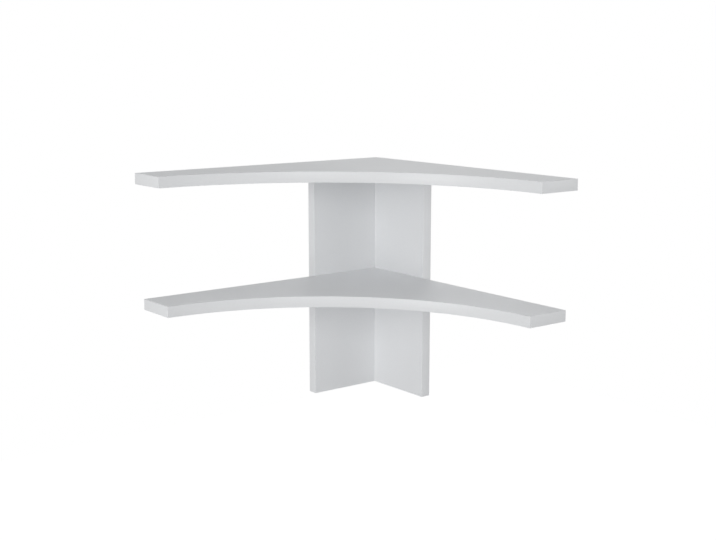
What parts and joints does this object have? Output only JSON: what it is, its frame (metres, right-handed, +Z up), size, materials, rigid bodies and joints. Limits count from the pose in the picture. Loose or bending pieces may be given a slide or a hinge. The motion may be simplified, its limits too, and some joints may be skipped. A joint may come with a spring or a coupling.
{
  "type": "corner shelf unit",
  "caption": "Wall-hung corner shelf unit: two boomerang-shaped shelves with concave fronts on two uprights that meet in the corner of a room.",
  "frame": {"origin": "the corner of the room at the foot of the uprights, where the two walls and the unit's lower ends meet", "axes": "+Z up; +X along the back wall to the end of the right arm; -Y along the left wall to the end of the left arm, so the back wall is the plane y = 0 and the left wall the plane x = 0"},
  "size_m": [0.6, 0.6, 0.51],
  "materials": {
    "melamine_board": "satin",
    "edge_band": "satin",
    "zinc_plated_steel": "satin",
    "beech": "matte",
    "cast_zinc": "satin"
  },
  "bodies": {
    "root": {"top_shelf": "melamine_board", "lower_shelf": "melamine_board", "back_upright": "melamine_board", "left_upright": "melamine_board", "top_shelf_front_band": "edge_band", "top_shelf_back_band": "edge_band", "top_shelf_left_band": "edge_band", "top_shelf_right_end_band": "edge_band", "top_shelf_left_end_band": "edge_band", "lower_shelf_front_band": "edge_band", "lower_shelf_back_band": "edge_band", "lower_shelf_left_band": "edge_band", "lower_shelf_right_end_band": "edge_band", "lower_shelf_left_end_band": "edge_band", "back_upright_front_band": "edge_band", "back_upright_corner_band": "edge_band", "back_upright_bottom_band": "edge_band", "left_upright_front_band": "edge_band", "left_upright_bottom_band": "edge_band", "corner_screw_1": "zinc_plated_steel", "corner_screw_2": "zinc_plated_steel", "corner_screw_3": "zinc_plated_steel", "back_shelf_screw_1": "zinc_plated_steel", "back_shelf_screw_2": "zinc_plated_steel", "left_shelf_screw_1": "zinc_plated_steel", "left_shelf_screw_2": "zinc_plated_steel", "back_cam_bolt_1": "zinc_plated_steel", "back_cam_bolt_2": "zinc_plated_steel", "left_cam_bolt_1": "zinc_plated_steel", "left_cam_bolt_2": "zinc_plated_steel", "back_hanger_plate": "zinc_plated_steel", "left_hanger_plate": "zinc_plated_steel", "back_hanger_screw_1": "zinc_plated_steel", "back_hanger_screw_2": "zinc_plated_steel", "left_hanger_screw_1": "zinc_plated_steel", "left_hanger_screw_2": "zinc_plated_steel", "corner_dowel_1": "beech", "corner_dowel_2": "beech", "back_shelf_dowel": "beech", "back_top_dowel_1": "beech", "back_top_dowel_2": "beech", "left_shelf_dowel": "beech", "left_top_dowel_1": "beech", "left_top_dowel_2": "beech", "back_cam_1": "cast_zinc", "back_cam_2": "cast_zinc", "left_cam_1": "cast_zinc", "left_cam_2": "cast_zinc"}
  },
  "joints": []
}
